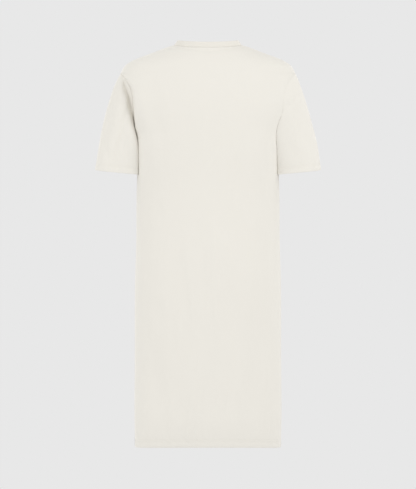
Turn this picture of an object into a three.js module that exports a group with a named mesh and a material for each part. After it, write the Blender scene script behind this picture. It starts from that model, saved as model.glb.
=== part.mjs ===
// A t-shirt dress in ecru cotton jersey, filled out as it is worn, with nobody in it.
// Millimetres, +Z up. The back panel faces -Y, the front panel +Y, and +X is the wearer's right.
// The origin is midway between the two high shoulder points, where the wearer's shoulders hold it.
import * as THREE from 'three';

// Cloth and making
const clothWall = 1.6;
const hemWall = 2.6; // two layers, turned up and stitched
const bandWall = 2.4; // rib folded double
const seamGap = 0.3;
const hemTurnUp = 25;
const cuffTurnUp = 22;
const hemStep = 1.5; // height over which the turned-up edge begins
const sharpFold = -0.2; // cosine between two normals past which cloth is folded on itself

// Body of the dress
const hemZ = -1105;
const tipZ = -77; // shoulder tip, where the armhole starts
const underarmZ = -240;
const armholeDepthBack = 73;
const armholeDepthFront = 71;
const frontScoop = 7; // the front armhole is cut this much further in

// Neckband
const bandWidth = 17;
const bandLeanSide = 36; // degrees from upright, towards the neck
const bandLeanBack = 14;
const bandLeanFront = 23;
const bandCrown = 0.8; // how far the band's middle stands out

// Sleeves, measured on the wearer's right side
const cuff = {
  outerX: 311,
  outerZ: -345,
  innerX: 184,
  innerZ: -357,
  forward: 2,
  halfDepth: 46,
  roundOuter: 2.2,
  roundInner: 7, // the side against the body is squarer
  frontRise: 5, // how much higher the cuff is in front
};
const sleeveClear = 2; // how near the body a sleeve hangs
const sleeveSettle = 12; // height below the underarm over which it comes to lie there
const cuffRun = { outerOut: 0.12, innerOut: -0.03, forward: 0.04 }; // per unit down, at the cuff

// Shoulder line from the neck to the tip, in even steps
const shoulderLine = [
  { step: 0, x: 92, z: 1.4 },
  { step: 1, x: 118, z: -7 },
  { step: 2, x: 142, z: -16.5 },
  { step: 3, x: 166, z: -25.5 },
  { step: 4, x: 189, z: -34 },
  { step: 5, x: 210, z: -43.5 },
  { step: 6, x: 229, z: -57 },
  { step: 7, x: 240, z: tipZ },
];

// Half the width of the body by height, from the hem up the side seams and past the armholes to
// the shoulder tips. The armholes are cut out of this form.
const sideLine = [
  { z: hemZ, x: 200.5 },
  { z: -1070, x: 201.3 },
  { z: -850, x: 201 },
  { z: -640, x: 200 },
  { z: -540, x: 197 },
  { z: -410, x: 196 },
  { z: -357, x: 194.5 },
  { z: -290, x: 196 },
  { z: underarmZ, x: 200.5 },
  { z: -216, x: 211 },
  { z: -190, x: 228 },
  { z: -158, x: 246 },
  { z: -120, x: 252 },
  { z: -100, x: 250 },
  { z: tipZ, x: 240 },
];

// How far each panel stands back or forward of the seams at its centre, from the hem up
const backProfile = [
  { z: hemZ, depth: 91, roundness: 2.4 },
  { z: -845, depth: 103, roundness: 2.4 },
  { z: -629, depth: 109, roundness: 2.4 },
  { z: -413, depth: 106, roundness: 2.4 },
  { z: underarmZ, depth: 112, roundness: 2.9 },
  { z: -160, depth: 110, roundness: 2.5 },
  { z: -80, depth: 94, roundness: 2.1 },
  { z: -36, depth: 77, roundness: 2 },
  { z: -9.6, depth: 62, roundness: 2 },
];
const frontProfile = [
  { z: hemZ, depth: 88, roundness: 2.4 },
  { z: -845, depth: 99, roundness: 2.4 },
  { z: -629, depth: 104, roundness: 2.4 },
  { z: -413, depth: 108, roundness: 2.4 },
  { z: -246, depth: 114, roundness: 2.9 },
  { z: -176, depth: 108, roundness: 2.5 },
  { z: -122, depth: 98, roundness: 2.1 },
  { z: -97, depth: 91, roundness: 2 },
  { z: -80, depth: 86, roundness: 2 },
];

// How far below its ends each row of a panel dips at the centre, by the height of its ends.
// Where curl is higher, a row leaves its ends more level.
const rowDips = [
  { z: hemZ, back: -4, front: -2, curl: 2 },
  { z: -413, back: 0, front: 1, curl: 2 },
  { z: underarmZ, back: 1, front: 6, curl: 2 },
  { z: -158, back: 2, front: 18, curl: 2 },
  { z: tipZ, back: 4, front: 46, curl: 2 },
  { z: -25, back: 10, front: 72, curl: 1.7 },
  { z: 1.4, back: 11, front: 81.4, curl: 1.15 },
];

// The largest folds of the two panels. Each runs from its top to its bottom point, seen from
// outside, and rise is how far it stands out, or sinks in where it is negative.
const panelFolds = [
  { face: -1, topX: -84, topZ: -430, bottomX: -92, bottomZ: -900, width: 26, rise: -4 },
  { face: -1, topX: 20, topZ: -420, bottomX: 104, bottomZ: -760, width: 30, rise: 4 },
  { face: -1, topX: 140, topZ: -620, bottomX: 128, bottomZ: -1090, width: 30, rise: -5 },
  { face: -1, topX: -150, topZ: -700, bottomX: -140, bottomZ: -1120, width: 34, rise: -5 },
  { face: -1, topX: -35, topZ: -760, bottomX: -42, bottomZ: -1130, width: 24, rise: 4 },
  { face: -1, topX: 150, topZ: -110, bottomX: 118, bottomZ: -330, width: 22, rise: -3 },
  { face: -1, topX: -165, topZ: -95, bottomX: -128, bottomZ: -300, width: 26, rise: -4 },
  { face: 1, topX: -120, topZ: -430, bottomX: -104, bottomZ: -980, width: 30, rise: -5 },
  { face: 1, topX: -40, topZ: -520, bottomX: -22, bottomZ: -1120, width: 28, rise: 4 },
  { face: 1, topX: 70, topZ: -480, bottomX: 60, bottomZ: -1110, width: 26, rise: -5 },
  { face: 1, topX: 150, topZ: -620, bottomX: 138, bottomZ: -1130, width: 32, rise: 4 },
  { face: 1, topX: 152, topZ: -150, bottomX: 112, bottomZ: -330, width: 24, rise: -4 },
  { face: 1, topX: -150, topZ: -140, bottomX: -116, bottomZ: -340, width: 24, rise: -3 },
];

// The folds of each sleeve: degrees round from its outer edge by way of the back, the way down
// from the armhole (0) to the cuff (1), and how wide, long and high each one is.
const sleeveFolds = [
  { side: -1, degrees: 62, down: 0.2, wide: 26, long: 0.3, rise: -9 },
  { side: -1, degrees: 36, down: 0.62, wide: 18, long: 0.3, rise: -3 },
  { side: -1, degrees: 300, down: 0.35, wide: 26, long: 0.3, rise: -5 },
  { side: -1, degrees: 134, down: 0.55, wide: 24, long: 0.25, rise: 8 },
  { side: 1, degrees: 66, down: 0.25, wide: 26, long: 0.3, rise: -4 },
  { side: 1, degrees: 30, down: 0.6, wide: 18, long: 0.3, rise: 2.5 },
  { side: 1, degrees: 296, down: 0.35, wide: 26, long: 0.3, rise: -5 },
  { side: 1, degrees: 134, down: 0.55, wide: 24, long: 0.25, rise: 8 },
];

// How each sleeve leaves the armhole, as shares of a step: outwards at the shoulder tip and at the
// back and front, and forwards at the back and at the front. Under the arm it goes straight down.
// start and finish say how far it keeps its direction at the armhole and at the cuff.
const sleeveLeave = {
  left: { outTop: 0.52, outSides: 0.5, forwardBack: 0.62 },
  right: { outTop: 0.42, outSides: 0.48, forwardBack: 0.45 },
  forwardFront: -0.4,
  start: 0.72,
  finish: 1,
};

// Fineness
const columnsHalf = 11;
const rowsShoulder = 7;
const rowsArmhole = 10;
const rowsSkirt = 16;
const rowsSleeve = 9;
const rowsBand = 2;
const columnEase = 0.6; // how little the inner columns of a panel move where the armhole cuts in
const armholeEase = 0.06; // how much wider the rows stand at the two ends of the armhole
const foldFade = 4; // the higher, the nearer to the side seams a panel's folds reach
const foldStart = 6; // the higher, the nearer to the armhole a sleeve's folds start

const ecru = new THREE.Color(0.87, 0.85, 0.79);
const clothRoughness = 0.92;
const bandRoughness = 0.88;

// A smooth value of one column of a table between its rows
function smooth(table, key, column, at) {
  const last = table.length - 1;
  let i = 0;
  while (i < last - 1 && at > table[i + 1][key]) i += 1;
  const slope = (k) => (table[k + 1][column] - table[k][column]) / (table[k + 1][key] - table[k][key]);
  const tangent = (k) => {
    if (k === 0) return slope(0);
    if (k === last) return slope(last - 1);
    const before = table[k][key] - table[k - 1][key];
    const after = table[k + 1][key] - table[k][key];
    return (after * slope(k - 1) + before * slope(k)) / (before + after);
  };
  const span = table[i + 1][key] - table[i][key];
  const f = (at - table[i][key]) / span;
  const rise = table[i + 1][column] - table[i][column];
  const ease = f * f * (3 - 2 * f);
  const start = f * (1 - f) * (1 - f) * span * tangent(i);
  const end = f * f * (1 - f) * span * tangent(i + 1);
  return table[i][column] + rise * ease + start - end;
}

// The outer edge of a panel: how far back or forward and how high it is, and how wide the body is
// there. station counts 0 to 1 along the shoulder seam, 1 to 2 round the armhole and 2 to 3 down
// the side seam.
function panelEdge(face, station) {
  if (station <= 1) {
    const step = station * (shoulderLine.length - 1);
    const z = smooth(shoulderLine, 'step', 'z', step);
    return { y: 0, z, half: smooth(shoulderLine, 'step', 'x', step) };
  }
  const angle = Math.min(station - 1, 1) * Math.PI;
  const isSide = station >= 2;
  const scoop = face > 0 && !isSide ? frontScoop * Math.sin(angle) ** 4 : 0;
  const depth = face > 0 ? armholeDepthFront : armholeDepthBack;
  const z = isSide
    ? THREE.MathUtils.lerp(underarmZ, hemZ, station - 2)
    : (tipZ + underarmZ) / 2 + (tipZ - underarmZ) / 2 * Math.cos(angle);
  return { y: isSide ? 0 : depth * Math.sin(angle), z, half: smooth(sideLine, 'z', 'x', z) - scoop };
}

// How far the folds move a panel's surface in or out at a point seen from outside
function panelFold(face, x, z) {
  let sum = 0;
  for (const fold of panelFolds) {
    if (fold.face !== face) continue;
    const down = (fold.topZ - z) / (fold.topZ - fold.bottomZ);
    if (down <= 0 || down >= 1) continue;
    const across = (x - THREE.MathUtils.lerp(fold.topX, fold.bottomX, down)) / fold.width;
    sum += fold.rise * Math.sin(Math.PI * down) ** 2 * Math.exp(-across * across);
  }
  return sum;
}

// A panel's outer skin. face is -1 for the back and 1 for the front, across runs from -1 at the
// wearer's left edge to 1 at the right edge, and station from the neck to the hem. Each row is
// half an oval, as deep as the profile says, that ends on the panel's two edges.
function panelSkin(face, across, station) {
  const edge = panelEdge(face, station);
  const profile = face > 0 ? frontProfile : backProfile;
  const dip = smooth(rowDips, 'z', face > 0 ? 'front' : 'back', edge.z);
  const curl = smooth(rowDips, 'z', 'curl', edge.z);
  const depth = smooth(profile, 'z', 'depth', edge.z - dip);
  const power = smooth(profile, 'z', 'roundness', edge.z - dip);
  const edgeDeep = edge.y / depth;
  const edgeWide = (1 - edgeDeep ** power) ** (1 / power);
  const cut = edgeDeep / (edgeWide + edgeDeep);
  const level = columnEase * cut * Math.abs(across) * (1 - Math.abs(across));
  const turn = Math.abs(across) * (1 - cut) + level;
  const reach = (turn ** power + (1 - turn) ** power) ** (1 / power);
  const wide = turn / reach;
  const deep = (1 - turn) / reach;
  const x = Math.sign(across) * edge.half * wide;
  const fall = (deep ** curl - edgeDeep ** curl) / (1 - edgeDeep ** curl);
  const z = edge.z - dip * Math.max(0, fall);
  const outX = Math.sign(across) * wide ** (power - 1) / edge.half;
  const outY = deep ** (power - 1) / depth;
  const fade = 1 - Math.abs(across) ** foldFade;
  const fold = panelFold(face, x, z) * fade / Math.hypot(outX, outY);
  return new THREE.Vector3(x + fold * outX, face * (depth * deep + fold * outY), z);
}

// A point of the sleeve's end, at an angle round from its outer edge by way of the back
function cuffPoint(side, angle) {
  const c = Math.cos(angle);
  const s = Math.sin(angle);
  const power = THREE.MathUtils.lerp(cuff.roundInner, cuff.roundOuter, (1 + c) / 2);
  const size = (Math.abs(c) ** power + Math.abs(s) ** power) ** (-1 / power);
  const f = (1 + c * size) / 2;
  const x = THREE.MathUtils.lerp(cuff.innerX, cuff.outerX, f);
  const z = THREE.MathUtils.lerp(cuff.innerZ, cuff.outerZ, f) + cuff.frontRise * (1 - s * size) / 2;
  return new THREE.Vector3(side * x, cuff.forward - cuff.halfDepth * s * size, z);
}

// Half the width of the body at one height and depth
function bodyHalf(y, z) {
  const profile = y > 0 ? frontProfile : backProfile;
  const power = smooth(profile, 'z', 'roundness', z);
  const share = Math.min(Math.abs(y) / smooth(profile, 'z', 'depth', z), 1);
  return smooth(sideLine, 'z', 'x', z) * (1 - share ** power) ** (1 / power);
}

// The direction in which the sleeve leaves the armhole
function leaveDirection(side, angle) {
  const c = Math.cos(angle);
  const s = Math.sin(angle);
  const leave = side < 0 ? sleeveLeave.left : sleeveLeave.right;
  const out = THREE.MathUtils.lerp(leave.outTop * (1 + c) / 2, leave.outSides, s * s);
  const forward = (s > 0 ? leave.forwardBack : sleeveLeave.forwardFront) * Math.abs(s);
  const down = Math.sqrt(1 - out * out - forward * forward);
  return new THREE.Vector3(side * out, forward, -down);
}

// A sleeve's outer skin: a curve from each point of the armhole to its point of the cuff, with
// folds, and kept clear of the body below the underarm
function sleeveSkin(side, angle, down) {
  const isBack = angle <= Math.PI;
  const station = 1 + (isBack ? angle : 2 * Math.PI - angle) / Math.PI;
  const from = panelSkin(isBack ? -1 : 1, side, station);
  const to = cuffPoint(side, angle);
  const length = from.distanceTo(to);
  const leave = leaveDirection(side, angle).multiplyScalar(length * sleeveLeave.start);
  const out = THREE.MathUtils.lerp(cuffRun.innerOut, cuffRun.outerOut, (1 + Math.cos(angle)) / 2);
  const arrive = new THREE.Vector3(side * out, cuffRun.forward, -1);
  arrive.multiplyScalar(length * sleeveLeave.finish);
  const ease = down * down * (3 - 2 * down);
  const point = from.clone().lerp(to, ease);
  point.addScaledVector(leave, down * (1 - down) ** 2);
  point.addScaledVector(arrive, -down * down * (1 - down));
  const middle = new THREE.Vector3(side * (cuff.innerX + cuff.outerX) / 2, cuff.forward, 0);
  const outward = new THREE.Vector3(point.x - middle.x, point.y - middle.y, 0).normalize();
  let fold = 0;
  for (const row of sleeveFolds) {
    if (row.side !== side) continue;
    const round = (THREE.MathUtils.radToDeg(angle) - row.degrees) / row.wide;
    const along = (down - row.down) / row.long;
    fold += row.rise * Math.exp(-round * round - along * along);
  }
  point.addScaledVector(outward, fold * Math.min(1, foldStart * down));
  const beside = THREE.MathUtils.smoothstep(underarmZ - point.z, 0, sleeveSettle);
  const push = Math.max(0, bodyHalf(point.y, point.z) + sleeveClear - side * point.x);
  point.x += side * push * beside;
  return point;
}

// The neckband's outer skin over a point of the neck edge, up from the seam to its folded top
function bandSkin(face, across, up) {
  const base = panelSkin(face, across, 0);
  const centre = face > 0 ? bandLeanFront : bandLeanBack;
  const share = base.y / panelSkin(face, 0, 0).y;
  const lean = THREE.MathUtils.degToRad(THREE.MathUtils.lerp(bandLeanSide, centre, share));
  const inward = new THREE.Vector3(-base.x, -base.y, 0).normalize();
  const crown = bandCrown * 4 * up * (1 - up);
  base.addScaledVector(inward, bandWidth * up * Math.sin(lean) - crown * Math.cos(lean));
  base.z += bandWidth * up * Math.cos(lean) + crown * Math.sin(lean);
  return base;
}

// Even steps from one value to another, both ends included
function steps(from, to, count) {
  return Array.from({ length: count + 1 }, (_, i) => THREE.MathUtils.lerp(from, to, i / count));
}

// Outward normals of a grid of points, from the neighbours of each point. turn is 1 or -1.
function gridNormals(grid, closed, turn) {
  const rows = grid.length;
  const columns = grid[0].length;
  const column = (k) => (closed ? (k + columns) % columns : THREE.MathUtils.clamp(k, 0, columns - 1));
  return grid.map((row, j) => row.map((_, i) => {
    const across = row[column(i + 1)].clone().sub(row[column(i - 1)]);
    const above = grid[Math.max(j - 1, 0)][i];
    const below = grid[Math.min(j + 1, rows - 1)][i];
    return across.cross(below.clone().sub(above)).normalize().multiplyScalar(turn);
  }));
}

// One piece of cloth: its grid of outer points, its wall, and at each point the seams that meet
// there, each by the next point along the seam and the next one inside the piece
function piece(name, grid, { closed, turn, wall, seams }) {
  const normals = gridNormals(grid, closed, turn);
  return { name, grid, closed, turn, wall, seams, normals, folded: new Set() };
}

const pointKey = (j, i) => `${j},${i}`;

// The two stretches of a seam that meet at one point of a tube's first ring
function roundSeam(i, count) {
  return [i + 1, i + count - 1].map((next) => ({ along: [0, next % count], inside: [1, i] }));
}

const shoulderStations = steps(0, 1, rowsShoulder);
const armholeStations = steps(0, 1, rowsArmhole).slice(1).map((share) => (
  1 + share + armholeEase * Math.sin(2 * Math.PI * share)));
const hemStart = 3 - hemTurnUp / (underarmZ - hemZ);
const hemStepEnd = hemStart + hemStep / (underarmZ - hemZ);
const skirtStations = [...steps(2, hemStart, rowsSkirt).slice(1), hemStepEnd, 3];
const stations = [...shoulderStations, ...armholeStations, ...skirtStations];
const acrossValues = steps(-1, 1, 2 * columnsHalf);

function panelPiece(name, face) {
  const grid = stations.map((station) => acrossValues.map((across) => panelSkin(face, across, station)));
  const lastColumn = acrossValues.length - 1;
  const lastRow = stations.length - 1;
  return piece(name, grid, {
    closed: false,
    turn: face,
    wall: (j) => (stations[j] >= hemStepEnd ? hemWall : clothWall),
    seams: (j, i) => {
      const sides = [];
      const inside = { 0: 1, [lastColumn]: lastColumn - 1 }[i];
      if (inside !== undefined && j > 0) sides.push({ along: [j - 1, i], inside: [j, inside] });
      if (inside !== undefined && j < lastRow) sides.push({ along: [j + 1, i], inside: [j, inside] });
      if (j === 0 && i > 0) sides.push({ along: [0, i - 1], inside: [1, i] });
      if (j === 0 && i < lastColumn) sides.push({ along: [0, i + 1], inside: [1, i] });
      return sides;
    },
  });
}

function sleevePiece(name, side) {
  const halfTurn = [1, ...armholeStations].map((station) => (station - 1) * Math.PI);
  const frontTurn = halfTurn.slice(1, -1).reverse().map((angle) => 2 * Math.PI - angle);
  const angles = [...halfTurn, ...frontTurn];
  const outerLength = cuffPoint(side, 0).distanceTo(panelSkin(-1, side, 1));
  const hemDown = 1 - cuffTurnUp / outerLength;
  const downs = [...steps(0, hemDown, rowsSleeve), hemDown + hemStep / outerLength, 1];
  const grid = downs.map((down) => angles.map((angle) => sleeveSkin(side, angle, down)));
  return piece(name, grid, {
    closed: true,
    turn: side,
    wall: (j) => (j > rowsSleeve ? hemWall : clothWall),
    seams: (j, i) => (j === 0 ? roundSeam(i, grid[0].length) : []),
  });
}

function bandPiece(name) {
  const backwards = [...acrossValues].reverse().slice(1, -1);
  const round = [...acrossValues.map((across) => [-1, across]), ...backwards.map((across) => [1, across])];
  const grid = steps(0, 1, rowsBand).map((up) => round.map(([face, across]) => bandSkin(face, across, up)));
  return piece(name, grid, {
    closed: true,
    turn: 1,
    wall: () => bandWall,
    seams: (j, i) => (j === 0 ? roundSeam(i, grid[0].length) : []),
  });
}

// Gives the pieces that meet at a point one normal there, so that their cut edges lie side by
// side. At the sharp fold of the underarm a sleeve and the panels keep their own.
function shareNormals(pieces) {
  const meeting = new Map();
  const keyOf = (p) => [p.x, p.y, p.z].map((value) => Math.round(value * 100)).join();
  for (const item of pieces) {
    item.grid.forEach((row, j) => row.forEach((point, i) => {
      if (item.seams(j, i).length === 0) return;
      const key = keyOf(point);
      meeting.set(key, [...(meeting.get(key) ?? []), { item, j, i, own: item.normals[j][i].clone() }]);
    }));
  }
  for (const group of meeting.values()) {
    for (const { item, j, i, own } of group) {
      const near = group.filter((other) => other.own.dot(own) > sharpFold);
      if (near.length < group.length) item.folded.add(pointKey(j, i));
      item.normals[j][i] = near.reduce((sum, other) => sum.add(other.own), new THREE.Vector3()).normalize();
    }
  }
}

// How far a point on a cut edge is drawn into its piece, square to the seams that meet there,
// and in from its own face where two pieces lie face to face
function seamShift(item, j, i) {
  const { grid, normals } = item;
  const squares = item.seams(j, i).map(({ along, inside }) => {
    const run = grid[along[0]][along[1]].clone().sub(grid[j][i]).projectOnPlane(normals[j][i]).normalize();
    const into = grid[inside[0]][inside[1]].clone().sub(grid[j][i]).projectOnPlane(normals[j][i]);
    return into.projectOnPlane(run).normalize();
  });
  if (squares.length === 0) return new THREE.Vector3();
  const sum = squares.reduce((total, square) => total.add(square), new THREE.Vector3());
  const stretch = Math.max(sum.dot(squares[0]), squares.length / 2);
  const inward = item.folded.has(pointKey(j, i)) ? -seamGap / 2 : 0;
  return sum.multiplyScalar(seamGap / 2 / stretch).addScaledVector(normals[j][i], inward);
}

// The closed wall of a piece: outer skin, inner skin and the cut edges between them
function wallGeometry(item) {
  const { grid, normals, closed } = item;
  const rows = grid.length;
  const columns = grid[0].length;
  const outer = grid.map((row, j) => row.map((point, i) => point.clone().add(seamShift(item, j, i))));
  const inner = outer.map((row, j) => row.map((point, i) => (
    point.clone().addScaledVector(normals[j][i], -item.wall(j)))));
  const positions = [...outer, ...inner].flatMap((row) => row.flatMap((p) => [p.x, p.y, p.z]));
  const outerAt = (j, i) => j * columns + i % columns;
  const innerAt = (j, i) => outerAt(j, i) + rows * columns;
  const triangles = [];
  const quad = (a, b, c, d) => {
    const order = item.turn > 0 ? [a, b, c, a, c, d] : [a, c, b, a, d, c];
    triangles.push(...order);
  };
  // A cut edge is split the same way on both sides of a seam: from the outer point that is higher
  const cutEdge = (a, b) => {
    const [p, q] = [a, b].map(([j, i]) => grid[j][i % columns]);
    const isHigher = Math.abs(p.z - q.z) > seamGap / 10 ? p.z > q.z : p.x > q.x;
    const [outerA, outerB, innerA, innerB] = [outerAt(...a), outerAt(...b), innerAt(...a), innerAt(...b)];
    if (isHigher) quad(outerA, innerA, innerB, outerB);
    else quad(innerA, innerB, outerB, outerA);
  };
  const spans = closed ? columns : columns - 1;
  for (let j = 0; j < rows - 1; j += 1) {
    for (let i = 0; i < spans; i += 1) {
      quad(outerAt(j, i), outerAt(j, i + 1), outerAt(j + 1, i + 1), outerAt(j + 1, i));
      quad(innerAt(j, i), innerAt(j + 1, i), innerAt(j + 1, i + 1), innerAt(j, i + 1));
    }
    if (!closed) {
      cutEdge([j + 1, 0], [j, 0]);
      cutEdge([j, spans], [j + 1, spans]);
    }
  }
  for (let i = 0; i < spans; i += 1) {
    cutEdge([0, i], [0, i + 1]);
    cutEdge([rows - 1, i + 1], [rows - 1, i]);
  }
  const geometry = new THREE.BufferGeometry();
  geometry.setAttribute('position', new THREE.Float32BufferAttribute(positions, 3));
  geometry.setIndex(triangles);
  geometry.computeVertexNormals();
  return geometry;
}

const pieces = [
  panelPiece('back_panel', -1),
  panelPiece('front_panel', 1),
  sleevePiece('sleeve_left', -1),
  sleevePiece('sleeve_right', 1),
  bandPiece('neckband'),
];
shareNormals(pieces);

const dress = new THREE.Group();
for (const item of pieces) {
  const roughness = item.name === 'neckband' ? bandRoughness : clothRoughness;
  const material = new THREE.MeshStandardMaterial({ color: ecru, roughness, metalness: 0 });
  const mesh = new THREE.Mesh(wallGeometry(item), material);
  mesh.name = item.name;
  dress.add(mesh);
}

export default dress;
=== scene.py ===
import math

import bpy
import numpy as np
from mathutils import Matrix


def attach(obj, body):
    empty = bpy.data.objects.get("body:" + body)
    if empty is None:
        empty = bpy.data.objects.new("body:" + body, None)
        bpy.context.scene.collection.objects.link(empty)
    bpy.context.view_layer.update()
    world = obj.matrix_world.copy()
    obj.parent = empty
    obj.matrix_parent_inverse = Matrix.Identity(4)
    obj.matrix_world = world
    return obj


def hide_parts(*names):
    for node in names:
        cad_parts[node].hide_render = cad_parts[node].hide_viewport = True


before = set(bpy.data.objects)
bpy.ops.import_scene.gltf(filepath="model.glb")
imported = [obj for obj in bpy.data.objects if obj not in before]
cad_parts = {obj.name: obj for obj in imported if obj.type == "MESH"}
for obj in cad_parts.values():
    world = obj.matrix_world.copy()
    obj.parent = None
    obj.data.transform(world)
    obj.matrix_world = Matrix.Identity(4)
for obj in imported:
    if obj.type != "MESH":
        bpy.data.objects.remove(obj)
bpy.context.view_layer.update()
scene = bpy.context.scene
mm = 0.001  # shapes are worked out in millimetres, and Blender counts in metres
print("solids loaded")

# The form of the dress as the solids have it, in millimetres. x starts in the middle, z at the shoulders.
# As a side, -1 is the wearer's left and 1 the right. As a face, -1 is the back and 1 the front.

dress = {
    "hem": -1105.0,
    "tip": -77.0,  # outer end of the shoulder seam
    "underarm": -240.0,
    "armholeDepth": {-1: 73.0, 1: 71.0},  # how far it reaches back, and forward
    "frontScoop": 7.0,  # how much further in the front armhole is cut
    "columnEase": 0.6,  # how the grid's columns crowd beside an armhole
    "foldFade": 4,  # power with which folds die out towards the side seams
    "creaseLean": (0.25, 2),  # how much higher a crease is on one side, how suddenly
    # step, x, z along the shoulder seam
    "shoulder": [(0, 92, 1.4), (1, 118, -7), (2, 142, -16.5), (3, 166, -25.5),
                 (4, 189, -34), (5, 210, -43.5), (6, 229, -57), (7, 240, -77)],
    # height, half the width of the body, up past the armholes to the shoulder tips
    "side": [(-1105, 200.5), (-1070, 201.3), (-850, 201), (-640, 200), (-540, 197), (-410, 196),
             (-357, 194.5), (-290, 196), (-240, 200.5), (-216, 211), (-190, 228), (-158, 246),
             (-120, 252), (-100, 250), (-77, 240)],
    # height, depth at the centre, roundness
    "profile": {
        -1: [(-1105, 91, 2.4), (-845, 103, 2.4), (-629, 109, 2.4), (-413, 106, 2.4),
             (-240, 112, 2.9), (-160, 110, 2.5), (-80, 94, 2.1), (-36, 77, 2), (-9.6, 62, 2)],
        1: [(-1105, 88, 2.4), (-845, 99, 2.4), (-629, 104, 2.4), (-413, 108, 2.4),
            (-246, 114, 2.9), (-176, 108, 2.5), (-122, 98, 2.1), (-97, 91, 2), (-80, 86, 2)],
    },
    # height of a row's ends, dip at the back, dip at the front, curl
    "dips": [(-1105, -4, -2, 2), (-413, 0, 1, 2), (-240, 1, 6, 2), (-158, 2, 18, 2),
             (-77, 4, 46, 2), (-25, 10, 72, 1.7), (1.4, 11, 81.4, 1.15)],
    # top x, top z, bottom x, bottom z, width, rise: the large folds that the solids have too
    "folds": {
        -1: [(-84, -430, -92, -900, 26, -4), (8, -420, 92, -760, 30, 4),
             (140, -620, 128, -1090, 30, -5), (-150, -700, -140, -1120, 34, -5),
             (-35, -760, -42, -1130, 24, 4), (150, -110, 118, -330, 22, -3),
             (-165, -95, -128, -300, 26, -4)],
        1: [(-120, -430, -104, -980, 30, -5), (-40, -520, -22, -1120, 28, 4),
            (70, -480, 60, -1110, 26, -5), (150, -620, 138, -1130, 32, 4),
            (152, -150, 112, -330, 24, -4), (-150, -140, -116, -340, 24, -3)],
    },
    # top x, top z, bottom x, bottom z, bow, width at top, width at bottom, rise:
    # softer creases, each as uneven as the worn cloth
    "creases": {
        -1: [(-172, -45, -146, -205, 7, 15, 24, -2.0), (-196, -95, -172, -285, 4, 11, 13, 1.3),
             (-16, -150, -17, -330, -3, 24, 18, 2.2), (122, -105, 116, -250, 3, 13, 15, -1.2),
             (140, -48, 158, -150, -6, 15, 20, 1.2), (-124, -232, -121, -372, 2, 7, 9, -0.9),
             (52, -250, -42, -400, 9, 9, 14, 0.9), (74, -330, 82, -455, -4, 13, 15, -1.0),
             (142, -320, 148, -492, 5, 16, 20, 1.6), (-142, -420, -136, -500, 3, 12, 12, -1.2),
             (-78, -486, -44, -865, -7, 8, 17, -1.9), (-93, -640, -87, -850, 4, 12, 13, 1.4),
             (2, -440, 20, -880, 5, 15, 21, 3.2), (-140, -680, -143, -800, 5, 18, 20, -2.0),
             (152, -640, 162, -910, -6, 20, 27, -2.2), (-150, -850, -148, -1015, 6, 28, 32, -2.0),
             (96, -800, 88, -1010, 5, 14, 20, 1.4), (19, -955, 21, -1010, 1, 5, 6, -0.8),
             (-10, -560, -14, -760, 3, 12, 16, -1.0), (-180, -560, -176, -700, -3, 9, 12, 1.0),
             (176, -470, 181, -640, 3, 9, 11, -1.0), (52, -905, 44, -1080, -3, 9, 12, -0.9),
             (-112, -905, -106, -1075, 3, 10, 14, 1.1), (-72, -1035, -71, -1092, 0, 4, 5, -0.6),
             (-58, -1030, -56, -1090, 1, 4, 5, 0.7), (-44, -1036, -43, -1094, 0, 4, 5, -0.6),
             (-30, -1040, -29, -1090, -1, 4, 5, 0.5), (-168, -1040, -167, -1096, 0, 5, 7, 0.6),
             (-150, -1046, -151, -1094, 1, 4, 6, -0.5), (128, -1030, 131, -1096, -1, 6, 8, 0.6),
             (166, -1000, 168, -1090, 2, 7, 9, -0.8), (64, -16, 70, -62, 2, 11, 14, -0.7),
             (-58, -14, -66, -60, -2, 11, 15, 0.6)],
        1: [(168, -50, 144, -215, -6, 14, 24, -2.0), (-170, -52, -148, -200, 6, 15, 22, -1.7),
            (-4, -130, -6, -300, 3, 26, 22, 1.4), (-96, -120, -72, -290, -5, 13, 19, -1.3),
            (98, -110, 76, -300, 5, 12, 18, 1.1), (-132, -300, -60, -430, 8, 10, 16, 1.2),
            (128, -290, 74, -420, -7, 10, 15, -1.1), (20, -380, 28, -620, 5, 12, 20, -1.6),
            (-64, -470, -76, -760, -6, 10, 17, 1.9), (104, -560, 112, -830, 5, 11, 19, 1.8),
            (-150, -600, -154, -860, -4, 16, 24, -2.0), (0, -700, -6, -930, 4, 14, 20, -1.5),
            (150, -850, 146, -1040, -4, 18, 26, -1.8), (-96, -860, -90, -1060, 4, 14, 18, 1.5),
            (40, -880, 34, -1075, -3, 9, 13, 1.0), (-178, -440, -174, -620, 3, 9, 12, 0.9),
            (176, -420, 180, -600, -3, 9, 12, -0.9), (-52, -1030, -50, -1092, 1, 4, 6, -0.6),
            (-36, -1034, -35, -1092, 0, 4, 5, 0.6), (88, -1036, 90, -1094, 0, 5, 6, -0.6),
            (104, -1030, 106, -1092, 1, 5, 6, 0.5), (-60, -96, -88, -168, -4, 12, 18, 0.9),
            (66, -98, 92, -170, 4, 12, 18, -0.8)],
    },
    # how far the last stretch above the hem turns in, and over what height
    "hemTuck": (11.5, 92.0),
    # how far a panel rolls in at the armhole seam, and over what reach: wearer's left, right
    "armholeRoll": {-1: ((30.0, 9.0), (0.0, 6.0)), 1: ((0.0, 8.0), (0.0, 8.0))},
}


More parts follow.
